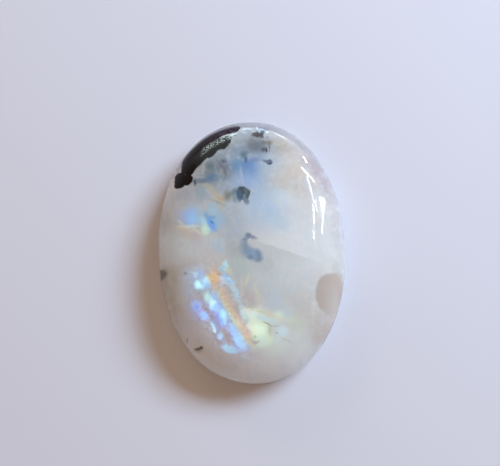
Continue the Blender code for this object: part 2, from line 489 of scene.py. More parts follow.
darkSpots = [
    # smoky wisps near the tourmaline
    (-4.5, 10.7, 0.6, 0.7, 0, 0.8, 0.75, (102, 122, 128)),
    (-3.35, 11.05, 0.14, 0.6, 32, 0.8, 0.6, (112, 114, 122)),
    (-2.75, 11.25, 0.38, 0.32, 0, 0.8, 0.85, (94, 108, 132)),
    (-2.95, 10.6, 0.55, 0.35, -30, 0.8, 0.6, (118, 120, 130)),
    (-2.55, 9.8, 0.2, 0.7, 5, 0.8, 0.75, (126, 124, 132)),
    (-3.5, 10.3, 0.12, 0.5, 15, 0.8, 0.5, (128, 128, 134)),
    (-3, 9.95, 0.25, 0.3, 0, 0.8, 0.5, (176, 172, 168)),
    (-2.3, 10.7, 0.14, 0.7, 20, 0.8, 0.5, (124, 126, 134)),
    (-6.55, 8.7, 0.24, 0.5, 5, 0.5, 0.9, (84, 94, 104)),
    (-6.2, 8.9, 0.3, 0.3, 0, 0.8, 0.5, (120, 138, 150)),
    (-5.75, 11.4, 0.26, 0.8, -38, 0.6, 0.85, (94, 106, 102)),
    (-5.1, 11.6, 0.4, 0.08, 42, 0.7, 0.7, (172, 198, 196)),
    (-0.05, 11.95, 0.42, 0.5, 20, 0.7, 0.85, (96, 128, 140)),
    (0.25, 12.2, 0.3, 0.2, 20, 0.7, 0.7, (112, 140, 150)),
    (0.18, 11.25, 0.2, 0.42, -6, 0.7, 0.85, (82, 110, 134)),
    # the broken group by the rim
    (1.5, 13.2, 1.4, 1.1, -10, 0.8, 0.85, (112, 120, 128)),
    (1.05, 13.9, 0.3, 0.7, 0, 0.8, 0.6, (132, 136, 134)),
    (0.6, 15.4, 2.6, 0.6, 0, 0.8, 0.75, (150, 160, 166)),
    (1.85, 14.85, 0.8, 0.44, 5, 0.35, 0.95, (76, 74, 76)),
    (1.3, 15, 0.3, 0.18, -10, 0.5, 0.8, (92, 92, 92)),
    (2.25, 14.5, 0.3, 0.22, -20, 0.5, 0.8, (80, 82, 86)),
    (2.4, 15.3, 0.35, 0.22, -30, 0.5, 0.9, (78, 96, 112)),
    (2.45, 15.92, 0.55, 0.14, -14, 0.6, 0.85, (96, 124, 150)),
    (2.95, 15.66, 0.42, 0.13, -10, 0.7, 0.8, (102, 120, 134)),
    (1.75, 15.5, 0.12, 0.3, -20, 0.6, 0.7, (108, 128, 138)),
    (-1.85, 14.55, 0.2, 0.22, 0, 0.6, 0.9, (58, 72, 72)),
    (-1.25, 14.93, 0.12, 0.09, 0, 0.7, 0.8, (80, 96, 96)),
    (3, 14.3, 0.22, 0.25, 0, 0.7, 0.6, (138, 142, 140)),
    (2.1, 14, 0.12, 0.4, 0, 0.8, 0.5, (140, 140, 136)),
    (2.55, 13.6, 0.35, 0.3, 0, 0.7, 0.75, (114, 118, 112)),
    (3.25, 13.5, 0.3, 0.3, 0, 0.7, 0.75, (120, 114, 100)),
    (2.5, 12.5, 0.34, 0.36, -20, 0.6, 0.85, (90, 92, 104)),
    (2.85, 12.45, 0.1, 0.42, -4, 0.6, 0.95, (68, 68, 82)),
    (3.25, 12.9, 0.1, 0.3, 4, 0.7, 0.8, (110, 106, 112)),
    (3.22, 12.4, 0.08, 0.3, 0, 0.7, 0.6, (126, 120, 124)),
    (2.6, 10.95, 0.34, 0.2, -20, 0.6, 0.8, (102, 116, 146)),
    (3.15, 10.8, 0.42, 0.38, 0, 0.4, 0.9, (82, 94, 112)),
    (3.08, 10.85, 0.17, 0.12, 0, 0.6, 0.7, (140, 150, 164)),
    (3.25, 10.58, 0.2, 0.14, 0, 0.6, 0.8, (64, 78, 94)),
    # the inclusion in the middle of the blue
    (-1.35, 7, 0.5, 0.38, 25, 0.8, 0.8, (110, 132, 142)),
    (-1.35, 6.2, 0.34, 0.6, 10, 0.8, 0.75, (130, 153, 160)),
    (-0.3, 6.78, 0.82, 0.86, -25, 0.2, 0.95, (84, 102, 114)),
    (-0.8, 6.6, 0.3, 0.9, 5, 0.4, 0.85, (86, 117, 141)),
    (0.05, 6.1, 0.36, 0.8, 15, 0.4, 0.85, (110, 129, 138)),
    (0.42, 6.65, 0.16, 0.46, -15, 0.5, 0.85, (76, 94, 96)),
    (-0.45, 7.45, 0.42, 0.28, -20, 0.4, 0.85, (82, 98, 106)),
    (-0.15, 6.95, 0.26, 0.16, 20, 0.6, 0.7, (78, 96, 104)),
    (-0.22, 6.35, 0.1, 0.45, -15, 0.6, 0.75, (146, 160, 166)),
    (0.1, 5.85, 0.1, 0.4, 25, 0.6, 0.6, (150, 162, 168)),
    (0.12, 7.05, 0.08, 0.35, 40, 0.6, 0.6, (138, 153, 158)),
    # the blue group below it
    (-0.5, 0.1, 0.4, 0.9, 0, 0.9, 0.75, (156, 175, 190)),
    (-0.45, -0.8, 0.4, 0.5, 10, 0.9, 0.6, (166, 188, 200)),
    (-0.2, 0.95, 0.34, 0.2, 0, 0.6, 0.85, (132, 154, 176)),
    (0.2, 1.4, 0.4, 0.34, 0, 0.6, 0.9, (126, 142, 164)),
    (0.75, 1.15, 0.38, 0.22, -20, 0.7, 0.85, (142, 154, 172)),
    (1.1, 0.95, 0.3, 0.15, 10, 0.8, 0.6, (168, 178, 186)),
    (-0.2, 0.2, 0.24, 0.8, 3, 0.8, 0.8, (148, 168, 186)),
    (0, -0.35, 0.4, 0.5, 0, 0.7, 0.85, (145, 168, 190)),
    (0.78, -0.98, 1.15, 0.78, -28, 0.4, 0.88, (146, 172, 195)),
    (0.8, -0.85, 0.35, 0.25, -30, 0.8, 0.6, (158, 188, 212)),
    (0.28, -1.25, 0.36, 0.26, 10, 0.7, 0.75, (132, 156, 180)),
    (1.35, -1.05, 0.25, 0.5, 15, 0.7, 0.7, (136, 158, 180)),
    (1.42, -1.62, 0.4, 0.3, 0, 0.7, 0.75, (140, 160, 174)),
    # single specks
    (-8.1, -2.95, 0.2, 0.2, 0, 0.7, 0.6, (150, 150, 150)),
    (-11.9, -3, 1.1, 0.62, 10, 0.4, 0.98, (26, 20, 15)),
    (-11.3, -2.9, 0.7, 0.9, 0, 0.8, 0.4, (150, 142, 124)),
    (-7.05, -12.55, 0.46, 0.16, 10, 0.8, 0.9, (86, 70, 50)),
    (-6.55, -12.35, 0.26, 0.15, 25, 0.8, 0.9, (88, 74, 54)),
    (-6.9, -12.75, 0.5, 0.3, 10, 0.9, 0.35, (150, 132, 110)),
    (-8.45, -11.4, 0.15, 0.4, -20, 0.7, 0.5, (132, 116, 102)),
]
brownPatch = [
    (10.1, -6.3, 1.95, 2.6, 6, 0.1, 0.9, (184, 171, 162)),
    (10.3, -4.4, 1.5, 0.7, 10, 0.2, 0.7, (184, 171, 160)),
    (11.5, -6.6, 0.6, 3, 8, 0.8, 0.7, (178, 158, 144)),
    (10.6, -9, 1.4, 2.2, 20, 0.6, 0.6, (194, 182, 172)),
    (8.8, -6.8, 0.5, 0.9, 0, 0.6, 0.5, (184, 172, 156)),
]
# painted reflections of the window, as glints along the top rim by the tourmaline's end, the brightest
# glowing
paintedGlints = [
    (-1.35, 15.1, 0.5, 0.09, 12, 0.7, 0.9, (206, 238, 236, 1.15)),
    (0.05, 15.82, 0.24, 0.08, 8, 0.7, 0.85, (206, 228, 238, 1.1)),
    (0.65, 15.78, 0.34, 0.08, -8, 0.7, 0.8, (200, 222, 230, 1.04)),
    (-0.35, 15.45, 0.42, 0.16, 15, 0.8, 0.5, (186, 202, 206)),
    (0.1, 15.25, 0.3, 0.1, 0, 0.8, 0.6, (206, 220, 220)),
    (1.2, 15.35, 0.25, 0.12, 0, 0.8, 0.5, (190, 200, 200)),
    (1.72, 15.8, 0.1, 0.3, 25, 0.7, 0.85, (200, 228, 238, 1.1)),
    (2.28, 15.65, 0.26, 0.08, -18, 0.7, 0.85, (196, 220, 240, 1.05)),
    (2, 15.3, 0.1, 0.25, -20, 0.8, 0.6, (180, 210, 220)),
    (3, 15.2, 0.22, 0.2, 0, 0.7, 0.85, (206, 222, 236, 1.05)),
    (2.75, 14.85, 0.14, 0.4, -10, 0.8, 0.6, (186, 194, 194)),
]
# The tourmaline is a rod along the rim and a wider inner part, both measured by the share of the
# way out to the girdle, and a head at its lower end
tourmaline = {
    "parts": [
        # inner edge and its blur, right end in millimetres and its blur: the rod, the inner part
        (0.872, 0.012, -1.2, 0.1),
        (0.77, 0.015, -2.05, 0.15),
    ],
    "low": 9.65,  # where the parts end below, in millimetres, at the place "lowAt" across
    "lowAt": -7,
    "lowSlope": 0.35,
    "lowBlur": 0.12,
    "left": -8.6,
    "leftBlur": 0.1,
    "ends": [
        # marks' first five numbers: the rod's round end, the inner part's and the head's lumps
        (-1.3, 15.98, 0.7, 0.6, 10),
        (-2.1, 14.2, 0.35, 0.5, -20),
        (-2.75, 13.5, 0.5, 0.5, 0),
        (-4.3, 12.5, 0.8, 0.36, 35),
        (-8.62, 9.3, 0.98, 1.12, 0),
        (-8.95, 9.9, 0.6, 0.58, 0),
        (-9.02, 8.8, 0.56, 0.6, 0),
        (-7.75, 9.25, 0.95, 0.8, 0),
        (-8.5, 10.1, 0.45, 0.42, 0),
    ],
    "endBlur": 0.12,
    # its outer edge fades into the clear rim and its painted reflection, further out towards its lower
    # end
    "outer": (0.93, 0.968),
    "outerLean": 0.005,
    "outerAt": 15.5,
    "outerUp": (10.0, 11.0),
    "outerShare": 0.93,
    # its colours, with their hazes and with where each starts and is full: share of the way out,
    # up and right
    "rodColour": rgb(32, 24, 28),
    "deep": {"haze": (4, 3, 0.35, 0.65), "colour": rgb(14, 11, 13)},
    "sheen": {"right": (-6.5, -2.5), "haze": (1.6, 3, 0.3, 0.7), "colour": rgb(70, 57, 72)},
    "inside": {"reach": (0.885, 0.86), "up": (10.8, 12.5), "colour": rgb(44, 46, 46)},
    # the band, the line and the glints on its pits are painted reflection of the lights along the rod
    "reflectionBandColour": rgb(112, 122, 116),
    "band": {"inner": (0.815, 0.84), "outer": (0.882, 0.862), "right": (-6, -5.2)},
    "line": {"inner": (0.865, 0.873), "outer": (0.885, 0.878), "right": (-3.6, -2.6)},
    "patches": (2.2, 3),  # the noise that breaks up the band and the line, and where they show
    "reflectionBandShown": (0.4, 0.6, 0.8),
    "reflectionLineShown": (0.3, 0.5, 0.9),
    "pitGlints": {"haze": (5.5, 2, 0.53, 0.63), "share": 0.9, "colour": rgb(214, 230, 222)},
    "roughness": 0.16,
    "specular": 0.18,
    "bump": {"noise": (3.5, 3), "strength": 0.5, "height": 0.06 * mm},
}
# The paint holds colours up to this share of white, and what is over it glows at this strength: painted
# light for the brightest flashes and glints
flash = {"most": 0.9, "strength": 0.82}

# The rainbow, painted schiller whose brightest parts glow, lies in stripes along one line, so its
# colours go by the distance from that line
rainbow = {
    "line": (-3.85, -5.9),
    "turn": 29.2,
    "from": -3.0,
    "to": 2.0,
    "waverNoise": (1.3, 3),
    "waver": 0.35,  # how far the stripes waver, in millimetres
    "steps": 0.4,  # how far the blue ones shift from cell to cell, and where they begin
    "stepped": (-0.1, -0.5),
    "cells": {"Scale": 1.7, "Randomness": 0.8},
    "cellPush": 0.2,  # how far the cells push the patches' edges
    "raggedEdge": (3.5, 0.22, 2),
    "stops": [
        # distance to the right of the line in millimetres, and colour
        (-3.0, (200, 204, 236, 1.1)),
        (-2.2, (200, 204, 240, 1.12)),
        (-1.8, (180, 194, 252, 1.3)),
        (-1.4, (168, 198, 254, 1.5)),
        (-0.9, (178, 220, 254, 1.55)),
        (-0.5, (180, 220, 254, 1.5)),
        (-0.22, (200, 234, 254, 1.35)),
        (-0.05, (236, 254, 244, 1.2)),
        (0.14, (250, 248, 214, 1.1)),
        (0.36, (250, 240, 202, 1.04)),
        (0.56, (254, 231, 201, 1.06)),
        (0.8, (244, 222, 203)),
        (1.05, (228, 214, 202)),
        (1.4, (218, 212, 206)),
    ],
}
# Where the stripes show, as marks without a colour
stripePatches = [
    (-3.95, -7.9, 2.3, 1, -60.8, 0.4, 0.95),
    (-1.9, -10.9, 2, 0.75, -60.8, 0.4, 1),
    (-2.1, -8.2, 4, 0.6, -60.8, 0.6, 0.95),
    (-3.1, -5.9, 1.4, 0.4, -60.8, 0.8, 0.7),
    (-4.7, -4.6, 1.2, 0.2, -62, 0.8, 0.4),
]
glows = [
    # soft light round the flashes
    (-6.3, -2.5, 1.4, 0.55, 0, 0.9, 0.85, (220, 240, 252)),
    (-7.5, -3.4, 0.9, 0.8, 10, 0.9, 0.7, (204, 226, 248, 1.05)),
    (-7.4, -5, 0.9, 0.9, 10, 0.9, 0.75, (208, 230, 252)),
    (-5.5, -5.3, 1.3, 0.5, -8, 0.9, 0.8, (212, 242, 253)),
    (-4.5, -5.1, 0.6, 0.4, -8, 0.9, 0.6, (214, 238, 248)),
    (-6.9, -5.75, 0.6, 0.3, 0, 0.9, 0.5, (224, 224, 230)),
    (-6.9, -7.3, 1.1, 1.3, 15, 0.9, 0.7, (202, 218, 252, 1.08)),
    (-6.1, -8.5, 1.3, 0.7, -20, 0.9, 0.7, (206, 219, 252, 1.06)),
    (-5.2, -7.6, 0.6, 0.8, 20, 0.9, 0.5, (206, 212, 240)),
    (-4.9, -8.8, 0.4, 0.9, 28, 0.9, 0.5, (208, 214, 236)),
    (-5.5, -9.6, 1, 0.7, -40, 0.9, 0.7, (228, 238, 254, 1.02)),
    (-4.2, -10.1, 0.5, 0.9, 28, 0.9, 0.55, (206, 214, 244)),
    (-4.5, -11.1, 1.1, 0.8, -50, 0.9, 0.7, (228, 238, 252, 1.02)),
    (-3.4, -11.2, 0.6, 0.9, 28, 0.9, 0.5, (212, 218, 236)),
    (-3, -12.5, 1, 0.45, -22, 0.9, 0.75, (207, 227, 254, 1.14)),
    (-1.9, -12.5, 1.1, 0.4, 0, 0.9, 0.7, (200, 226, 254, 1.2)),
    (-0.6, -12.3, 0.5, 0.35, -30, 0.9, 0.6, (216, 232, 252, 1.1)),
    (-1, -13.5, 0.5, 0.25, -30, 0.9, 0.7, (224, 250, 252, 1.08)),
]
# The flashes, painted schiller whose brightest parts glow
flashMarks = [
    # the upper cluster
    (-6.1, -3.2, 0.85, 0.5, 0, 0.8, 0.9, (182, 214, 254, 1.25)),
    (-7.4, -3.3, 0.6, 0.5, -10, 0.9, 0.7, (200, 224, 246, 1.08)),
    (-7.05, -2.9, 0.3, 0.13, 0, 0.9, 0.9, (206, 250, 240, 1.25)),
    (-6.65, -3.35, 0.24, 0.4, -20, 0.8, 0.9, (194, 234, 254, 1.6)),
    (-6.2, -4.2, 0.95, 0.75, -10, 0.7, 0.85, (186, 224, 248, 1.25)),
    (-6.5, -3.85, 0.35, 0.2, 20, 0.9, 0.8, (186, 214, 222)),
    (-6.45, -4.4, 0.34, 0.4, -15, 0.8, 0.95, (204, 246, 254, 1.8)),
    (-5.95, -4.65, 0.3, 0.25, 0, 0.9, 0.9, (206, 252, 250, 1.55)),
    (-5.85, -4.05, 0.1, 0.4, 20, 0.8, 0.7, (190, 208, 226)),
    (-5.4, -4.2, 0.46, 0.75, 15, 0.7, 0.95, (184, 228, 254, 1.6)),
    (-5.45, -3.8, 0.18, 0.35, -20, 0.9, 0.9, (212, 250, 254, 1.65)),
    (-5.3, -4.65, 0.4, 0.25, 0, 0.9, 0.8, (172, 214, 254, 1.5)),
    (-5.05, -3.6, 0.6, 0.15, -62, 0.9, 0.9, (248, 254, 226, 1.2)),
    # the orange patch beside it
    (-4.5, -2.9, 0.8, 0.7, 20, 0.9, 0.7, (242, 224, 206)),
    (-4.25, -3.75, 0.58, 0.9, -8, 0.8, 0.95, (254, 214, 174, 1.16)),
    (-4.72, -3.6, 0.25, 0.5, -10, 0.9, 0.9, (246, 232, 176, 1.08)),
    (-4.65, -3.95, 0.14, 0.06, -10, 0.8, 0.7, (150, 156, 130)),
    (-3.75, -3.2, 0.3, 0.15, -20, 0.9, 0.8, (236, 204, 180)),
    (-4.1, -4.9, 0.5, 0.5, 10, 0.9, 0.6, (236, 222, 208)),
    (-3.3, -4.15, 0.34, 0.6, -10, 0.9, 0.9, (240, 242, 250, 1.12)),
    # the triangle and the blue under it
    (-2.95, -2.3, 0.4, 0.78, -18, 0.5, 0.95, (204, 246, 250, 1.16)),
    (-3.2, -2.6, 0.25, 0.4, -20, 0.8, 0.8, (184, 226, 244, 1.02)),
    (-2.4, -2.8, 0.35, 0.4, 20, 0.9, 0.6, (228, 242, 216)),
    (-2.6, -3.9, 0.86, 0.44, -40, 0.6, 0.95, (190, 232, 254, 1.24)),
    (-2.9, -3.4, 0.3, 0.2, -40, 0.9, 0.8, (182, 216, 254, 1.25)),
    (-2.3, -4.3, 0.35, 0.25, -30, 0.9, 0.8, (180, 226, 250, 1.15)),
    (-2, -4.9, 0.35, 0.5, 10, 0.9, 0.7, (214, 240, 236)),
    (-1.7, -5.8, 1.1, 0.38, -70, 0.7, 0.95, (206, 240, 252, 1.12)),
    (-1.15, -7, 0.5, 0.24, -65, 0.9, 0.85, (216, 242, 250, 1.06)),
    (-0.8, -8.3, 0.35, 0.8, 15, 0.8, 0.9, (232, 252, 252, 1.16)),
    # the band's greenish head
    (-5.3, -6.1, 0.4, 0.5, 10, 0.8, 0.95, (214, 254, 246, 1.45)),
    (-5.75, -6.4, 0.12, 0.4, 10, 0.9, 0.8, (188, 206, 254, 1.35)),
    (-4.35, -6.2, 0.42, 0.65, 0, 0.8, 0.9, (178, 220, 254, 1.45)),
    (-4.75, -6.75, 0.32, 0.4, 0, 0.8, 0.95, (218, 254, 244, 1.55)),
    (-4.6, -7.4, 0.6, 0.24, -15, 0.8, 0.9, (192, 238, 254, 1.5)),
    (-3.8, -7.1, 0.3, 0.4, 0, 0.9, 0.8, (176, 210, 254, 1.35)),
    # cells of the band
    (-3.45, -8.3, 0.38, 0.5, -20, 0.8, 0.9, (180, 236, 254, 1.75)),
    (-4.35, -8.5, 0.35, 0.8, 10, 0.9, 0.7, (182, 194, 250, 1.3)),
    (-4.7, -8.3, 0.3, 0.6, 10, 0.9, 0.7, (206, 204, 232, 1.05)),
    (-3.6, -9.2, 0.4, 0.55, 0, 0.8, 0.8, (164, 202, 254, 1.55)),
    (-3.1, -9, 0.2, 0.5, 10, 0.9, 0.7, (188, 230, 254, 1.6)),
    (-3, -8.75, 0.6, 0.08, 42, 0.9, 0.6, (212, 242, 254, 1.55)),
    (-2.9, -9.9, 0.45, 0.35, 0, 0.9, 0.7, (206, 222, 250, 1.15)),
    (-1.7, -11.4, 0.42, 0.8, 28, 0.8, 0.8, (188, 232, 254, 1.75)),
    (-2.25, -10.4, 0.4, 0.5, 20, 0.9, 0.7, (184, 216, 254, 1.45)),
    (-1.1, -12, 0.35, 0.4, 30, 0.9, 0.6, (206, 226, 254, 1.4)),
    (-3, -11.1, 0.45, 0.8, 28, 0.9, 0.85, (220, 216, 228, 1)),
    # the chain of cells beside the band
    (-6.75, -7.1, 0.56, 0.7, 12, 0.75, 0.95, (180, 214, 254, 1.6)),
    (-6.75, -7.2, 0.3, 0.4, 0, 0.9, 0.8, (150, 194, 254, 1.5)),
    (-5.8, -8.3, 0.64, 0.42, -22, 0.75, 0.95, (168, 212, 254, 1.9)),
    (-6.35, -7.85, 0.3, 0.25, -40, 0.9, 0.7, (176, 204, 250, 1.4)),
    (-5.1, -8.95, 0.5, 0.2, -45, 0.9, 0.7, (190, 214, 246, 1.15)),
    (-4.45, -9.5, 0.6, 0.24, -72, 0.8, 0.8, (180, 204, 254, 1.4)),
    (-4.75, -9.75, 0.6, 0.16, -66, 0.7, 0.95, (194, 240, 254, 1.8)),
    (-4.6, -10.15, 0.16, 0.2, 0, 0.8, 0.9, (216, 246, 254, 1.9)),
    (-3.95, -10.9, 0.4, 0.4, 0, 0.8, 0.95, (192, 222, 254, 1.65)),
    (-3.4, -11.7, 0.4, 0.18, -50, 0.9, 0.7, (204, 214, 246, 1.15)),
    (-2.75, -12.5, 0.8, 0.36, -22, 0.75, 0.95, (188, 232, 254, 1.6)),
    (-3.2, -12.25, 0.25, 0.2, 0, 0.9, 0.8, (206, 240, 254, 1.7)),
    (-1.7, -12.6, 0.6, 0.3, 10, 0.9, 0.8, (200, 226, 252, 1.3)),
    # gaps between the chain and the band
    (-5.75, -7.35, 0.16, 0.6, 40, 0.8, 0.6, (206, 200, 214)),
    (-5, -8.35, 0.14, 0.7, 35, 0.8, 0.55, (200, 196, 216)),
    (-4.1, -9.6, 0.14, 0.6, 30, 0.8, 0.5, (196, 192, 216)),
    (-3.25, -10.6, 0.2, 0.5, 30, 0.8, 0.55, (206, 196, 206)),
    (-2.45, -11.6, 0.16, 0.5, 30, 0.8, 0.5, (200, 206, 214)),
    # the warm light under the orange patch
    (-3.2, -5.6, 0.3, 0.9, 28, 0.9, 0.6, (250, 222, 200, 1.04)),
    (-2.15, -6.4, 0.4, 0.9, 28, 0.9, 0.75, (232, 218, 208)),
    (-2.5, -5.3, 0.2, 0.5, 20, 0.9, 0.5, (222, 222, 220)),
    # the pale light on the lower half of the orange band
    (-1.55, -9.3, 0.7, 0.3, -62, 0.9, 0.7, (254, 248, 220, 1.16)),
    (-0.9, -10.3, 0.8, 0.35, -60, 0.9, 0.7, (254, 242, 222, 1.12)),
    (-1, -9, 0.5, 0.25, -62, 0.9, 0.7, (250, 252, 252, 1.05)),
    # the end of the orange band
    (-0.4, -10.9, 0.45, 0.3, -30, 0.9, 0.85, (254, 232, 214, 1.14)),
    (-0.35, -11.5, 0.42, 0.3, -40, 0.9, 0.8, (246, 242, 204, 1.12)),
    (0.3, -11.8, 0.3, 0.25, 0, 0.9, 0.7, (222, 208, 204)),
]
greenMarks = [
    # the yellow and green patch beyond the orange band, painted schiller whose brightest parts glow
    (2.2, -10.6, 3.6, 2.7, -20, 0.8, 0.9, (234, 246, 234)),
    (0.6, -9.9, 1.5, 2, -15, 0.7, 0.9, (240, 254, 232, 1.18)),
    (0, -9.3, 0.6, 1.6, 25, 0.7, 0.85, (244, 254, 238, 1.22)),
    (0.2, -8.2, 0.9, 0.5, -10, 0.7, 0.9, (240, 254, 242, 1.3)),
    (0.9, -10.4, 0.9, 0.8, 20, 0.8, 0.9, (236, 254, 228, 1.42)),
    (0, -10.3, 0.4, 0.6, 10, 0.7, 0.8, (252, 254, 238, 1.3)),
    (1.4, -11.6, 1.1, 0.7, 0, 0.8, 0.85, (236, 254, 238, 1.24)),
    (2.3, -11.3, 0.28, 0.9, -10, 0.8, 0.7, (244, 252, 224, 1.14)),
    (2.35, -10.3, 0.25, 0.7, 0, 0.8, 0.7, (216, 228, 206)),
    (3.1, -11.4, 0.6, 0.6, 0, 0.8, 0.7, (236, 246, 242, 1.06)),
    (3.8, -10.5, 0.72, 0.65, 0, 0.5, 0.8, (228, 250, 254, 1.06)),
    (2.9, -12.6, 1.5, 0.9, 10, 0.8, 0.7, (238, 246, 236, 1.06)),
    (3.4, -8.6, 0.7, 0.6, 20, 0.7, 0.85, (238, 254, 230, 1.08)),
    (4.3, -9.1, 1, 0.4, -5, 0.8, 0.75, (236, 246, 222)),
    (4.5, -8.2, 0.6, 0.8, 0, 0.8, 0.6, (208, 228, 228)),
    (5.6, -9.6, 1, 0.8, 0, 0.8, 0.6, (214, 222, 200)),
    (-0.5, -9, 0.3, 0.4, 0, 0.8, 0.6, (212, 224, 232)),
    (0.45, -11.1, 0.2, 0.2, 0, 0.8, 0.7, (206, 236, 200)),
    # its bright upper edge, the yellow line and the cyan band below
    (1.7, -8.1, 1.8, 0.3, -22, 0.6, 0.8, (236, 240, 208)),
    (2.4, -8.45, 0.3, 0.15, -10, 0.8, 0.8, (250, 236, 208)),
    (0.2, -7.75, 1, 0.14, 0, 0.7, 0.9, (252, 254, 228, 1.12)),
    (1, -7.45, 0.4, 0.2, 20, 0.8, 0.7, (236, 240, 226)),
    (1.8, -8.9, 1.5, 0.26, -20, 0.6, 0.85, (222, 248, 248, 1.06)),
    # streaks above it
    (0.2, -6.6, 0.6, 0.9, 0, 0.8, 0.7, (208, 198, 198)),
    (0.75, -6.5, 0.13, 0.8, 5, 0.8, 0.6, (228, 208, 200)),
    (1.15, -6.4, 0.3, 0.7, -20, 0.8, 0.6, (224, 226, 206)),
    (3.1, -6.9, 1, 0.9, 0, 0.8, 0.7, (206, 222, 230)),
    (-0.2, -4.2, 0.16, 0.9, -20, 0.8, 0.7, (228, 232, 204)),
    (0.85, -5.4, 0.16, 0.8, 5, 0.8, 0.7, (228, 230, 200)),
    (-0.4, -5.6, 0.4, 0.8, -20, 0.8, 0.6, (210, 202, 198)),
    (-0.85, -4.7, 0.16, 1, 0, 0.8, 0.5, (232, 230, 206)),
]
cracks = [
    (2, -9.52, 0.6, 0.06, -28, 0.8, 0.75, (136, 146, 130)),
    (3, -9.85, 0.5, 0.06, -5, 0.8, 0.5, (170, 184, 180)),
    (3.12, -10.7, 0.14, 0.12, 0, 0.8, 0.6, (176, 190, 186)),
    (0.75, -11.75, 0.4, 0.14, 30, 0.8, 0.5, (190, 192, 184)),
    (4.4, -11.7, 0.7, 0.06, -30, 0.8, 0.5, (190, 192, 186)),
    (-3.5, -3.3, 0.5, 0.05, -28, 0.8, 0.6, (170, 180, 180)),
    (-2.6, -3.35, 0.7, 0.05, -40, 0.8, 0.6, (160, 186, 200)),
    # the line of the long fracture to the right
    (4.5, -0.66, 3.4, 0.05, -21, 0.8, 0.6, (198, 202, 200)),
]
fracture = {
    "place": (4.5, -0.66),
    "size": (3.2, 1.1),
    "turn": -21,
    "soft": 0.8,
    "strength": 0.75,
    "line": 0.08,
    "above": rgb(229, 232, 227),
    "below": rgb(207, 211, 207),
}
# The fine glitter in and round the flashes
glitter = {
    "where": (-3.6, -7.6, 3.6, 6.2, 25),
    "cells": 2.6,
    "cellShare": 0.18,
    "noise": (4, 2),
    "noiseShare": 0.24,
}


def makeMoonstoneMaterial():
    material = bpy.data.materials.new("polished moonstone")
    sheet = Sheet(material)
    where = sheet.scaled(sheet.coordinates("Object"), 1 / mm)
    # the markings are laid on from above, and down the steep side they go on outwards
    draped = 1 + sheet.smooth(sheet.part(where, "Z"), finish["drapeBelow"], 0.0, finish["drape"])
    flat = sheet.scaled(sheet.vector("MULTIPLY", where, (1, 1, 0)), draped)
    cloudy = sheet.drifted(flat, *drifts["cloudy"])
    veined = sheet.drifted(flat, *drifts["veined"])
    ragged = sheet.drifted(flat, *drifts["ragged"])

    colour = sheet.mixed(sheet.haze(flat, *milk["body"]), milk["cool"], milk["warm"])
    colour = sheet.painted(colour, cloudy, clouds)
    colour = sheet.mixed(sheet.haze(flat, *milk["blueVeil"]), colour, milk["blue"])
    colour = sheet.mixed(sheet.haze(veined, *milk["beigeVeil"]), colour, milk["beige"])
    threaded = sheet.placed(flat, (0, 0), milk["threadSize"], milk["threadTurn"])
    threads = sheet.grain(threaded, *milk["threadNoise"])
    mottle = sheet.grain(flat, *milk["mottleNoise"])
    light = 1.0 + (threads - 0.5) * milk["threads"] + (mottle - 0.5) * milk["mottle"]
    colour = sheet.dimmed(colour, light)
    colour = sheet.painted(colour, veined, veins)
    colour = sheet.painted(colour, veined, greenMarks)
    colour = flashed(sheet, colour, flat, veined)
    colour = sheet.painted(colour, veined, cracks)
    colour = broken(sheet, colour, veined)
    colour = sheet.painted(colour, ragged, brownPatch + darkSpots)

    reach = shareOut(sheet, flat)
    # the clear rim at the dark end, its grey partly a painted reflection of the room
    clearAndSheen = sheet.smooth(reach, *clearRimAndSheen["reach"])
    clearAndSheen = clearAndSheen * sheet.smooth(sheet.part(flat, "Y"), *clearRimAndSheen["up"])
    right = sheet.smooth(sheet.part(flat, "X"), *clearRimAndSheen["leftToRight"])
    rimAndSheen = sheet.mixed(right, clearRimAndSheen["leftColour"], clearRimAndSheen["rightColour"])
    colour = sheet.mixed(clearAndSheen * clearRimAndSheen["share"], colour, rimAndSheen)
    # painted glints: reflections of the window along the top rim
    colour = sheet.painted(colour, veined, paintedGlints)

    height = sheet.part(sheet.coordinates("Object"), "Z")
    wall = sheet.smooth(height, *finish["wall"]["heights"])
    back = sheet.smooth(height, *finish["back"]["heights"], finish["back"]["share"])
    colour = sheet.mixed(back.most(wall * finish["wall"]["share"]), colour, finish["groundColour"])
    wear = sheet.grain(flat, *finish["wearNoise"])
    scratched = sheet.placed(flat, (0, 0), finish["scratchSize"], finish["scratchTurn"])
    scratches = sheet.grain(scratched, *finish["scratchNoise"])
    dark, mask = makeTourmaline(sheet, flat, reach)

    # what the paint holds over this limit goes out as a painted glow
    limit = (flash["most"],) * 3
    painted = sheet.vector("MINIMUM", colour, limit)
    over = sheet.vector("SUBTRACT", colour, limit)
    paintedGlow = sheet.vector("MAXIMUM", over, (0, 0, 0))
    rough = finish["roughness"] + sheet.smooth(wear, *finish["wear"])
    rough = rough + sheet.smooth(scratches, *finish["scratches"])
    stoneShader = sheet.tree.nodes["Principled BSDF"]
    sheet.fill(
        stoneShader,
        {
            "Base Color": painted,
            "Emission Color": paintedGlow,
            "Emission Strength": flash["strength"],
            "Roughness": rough + wall * finish["groundRoughness"],
            "IOR": finish["ior"],
            "Subsurface Weight": 1.0,
            "Subsurface Radius": finish["lightDepths"],
            "Subsurface Scale": finish["lightDepth"],
        },
    )
    both = sheet.node("ShaderNodeMixShader", {}, [mask, Wire(sheet, stoneShader.outputs["BSDF"]), dark])
    sheet.fill(sheet.tree.nodes["Material Output"], {"Surface": both})
    return material


def stripe(sheet, reach, east, edges):
    # a stripe along the rim, between two shares of the way out and from one place to the right
    share = sheet.smooth(reach, *edges["inner"]) * sheet.smooth(reach, *edges["outer"])
    return share * sheet.smooth(east, *edges["right"])


